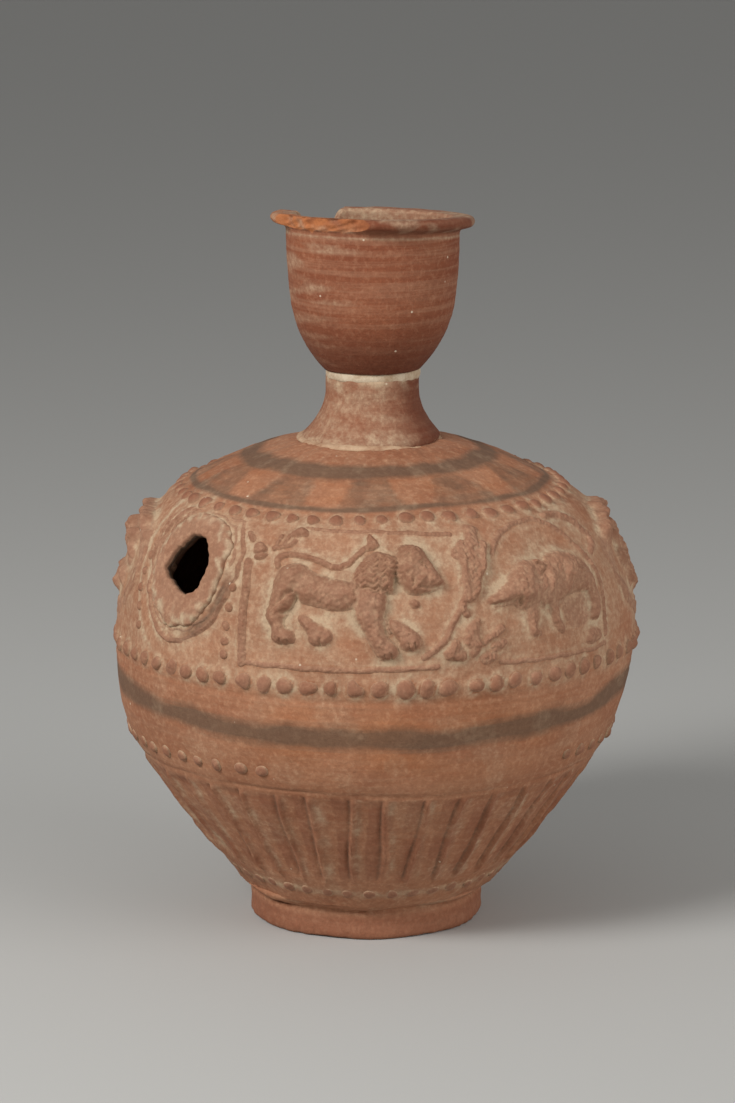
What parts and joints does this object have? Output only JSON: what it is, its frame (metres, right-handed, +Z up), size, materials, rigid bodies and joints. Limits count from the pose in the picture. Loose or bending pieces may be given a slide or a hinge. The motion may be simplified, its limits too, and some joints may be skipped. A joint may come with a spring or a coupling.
{
  "type": "aryballos flask",
  "caption": "Terracotta aryballos flask with a fluted bowl, a sprigged frieze of animals and roundels, a pouring hole, a narrow neck and a flanged mouth cup with old breaks.",
  "frame": {"origin": "centre of the foot's resting face", "axes": "+Z up the vessel's axis to the rim, -Y out through the pouring hole, +X to the right of it"},
  "size_m": [0.1886, 0.1881, 0.25],
  "materials": {
    "wall_terracotta": "matte",
    "sprig_terracotta": "matte",
    "raw_clay": "matte",
    "pale_slip": "matte",
    "plaster": "matte"
  },
  "bodies": {
    "root": {"belly_pearls": "sprig_terracotta", "blind_roundel": "sprig_terracotta", "boar_arch_back": "sprig_terracotta", "boar_arch_front": "sprig_terracotta", "boar_back": "sprig_terracotta", "boar_front": "sprig_terracotta", "flower_spray_back": "sprig_terracotta", "flower_spray_front": "sprig_terracotta", "foot_disc": "wall_terracotta", "foot_pearls": "sprig_terracotta", "frieze_pearls": "sprig_terracotta", "lion_back": "sprig_terracotta", "lion_front": "sprig_terracotta", "lion_panel_frame_back": "sprig_terracotta", "lion_panel_frame_front": "sprig_terracotta", "lower_bowl": "wall_terracotta", "mouth_cup": "wall_terracotta", "neck": "wall_terracotta", "neck_luting_bead": "pale_slip", "plaster_collar": "plaster", "rosette_back": "sprig_terracotta", "rosette_border_back": "sprig_terracotta", "rosette_border_front": "sprig_terracotta", "rosette_front": "sprig_terracotta", "roundel_beads_back": "sprig_terracotta", "roundel_beads_front": "sprig_terracotta", "roundel_border_back": "sprig_terracotta", "roundel_border_front": "sprig_terracotta", "seam_coil": "raw_clay", "shoulder_pearls": "sprig_terracotta", "spout_roundel": "sprig_terracotta", "tree_back": "sprig_terracotta", "tree_front": "sprig_terracotta", "upper_bowl": "wall_terracotta"}
  },
  "joints": []
}
